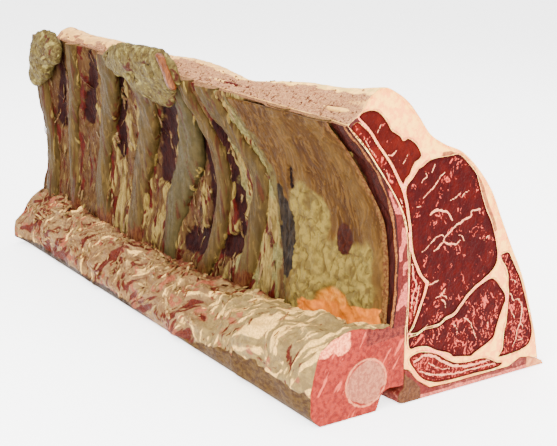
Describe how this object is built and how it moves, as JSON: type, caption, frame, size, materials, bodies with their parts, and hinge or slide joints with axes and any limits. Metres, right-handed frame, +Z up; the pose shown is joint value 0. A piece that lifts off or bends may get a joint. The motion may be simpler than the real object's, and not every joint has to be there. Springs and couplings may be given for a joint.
{
  "type": "bone-in beef rib loin",
  "caption": "Raw bone-in beef loin with its ribs, sawn chine bone and fat cover, fresh cut face at one end; it rests on the flat saw cut through its spine.",
  "frame": {"origin": "centre of the flat base, on the surface it rests on", "axes": "+X along the spine towards the fresh cut face, +Y across towards the back fat, +Z up"},
  "size_m": [0.514, 0.208, 0.2171],
  "materials": {
    "cut_bone": "sawn red bone, with torn cream fat and red fibres on its rib side",
    "feather_bone": "pink sawn bone with cream edges",
    "rib_bone": "grey tan rib under a thin moist skin, sawn at the top",
    "rib_lean": "dark dried lean with cream and brick red fibres",
    "lining": "smooth tan lining with soft greenish cream fat at its foot, slightly moist",
    "dark_red_lean": "fresh cut deep red lean with fine white marbling, moist",
    "marbled_lean": "fresh cut red lean with branching cream marbling, moist",
    "back_fat": "warm cream back fat, yellow at its edges, soft sheen",
    "soft_fat": "crumbly greenish cream fat",
    "sinew": "orange brown sinew, slightly glossy"
  },
  "bodies": {
    "root": {"chine_bone": "cut_bone", "feather_bones": "feather_bone", "rib_1": "rib_bone", "rib_2": "rib_bone", "rib_3": "rib_bone", "rib_4": "rib_bone", "rib_5": "rib_bone", "rib_6": "rib_bone", "rib_7": "rib_bone", "rib_8": "rib_bone", "rib_9": "rib_bone", "rib_lean": "rib_lean", "rib_lining": "lining", "top_muscle": "dark_red_lean", "rib_side_muscle": "marbled_lean", "eye_muscle": "dark_red_lean", "deep_muscle": "marbled_lean", "under_muscle": "marbled_lean", "cap_muscle": "marbled_lean", "feather_muscle": "marbled_lean", "fat_cover": "back_fat", "fat_lump_far": "soft_fat", "fat_lump_mid": "soft_fat", "sinew_strip": "sinew"}
  },
  "joints": []
}
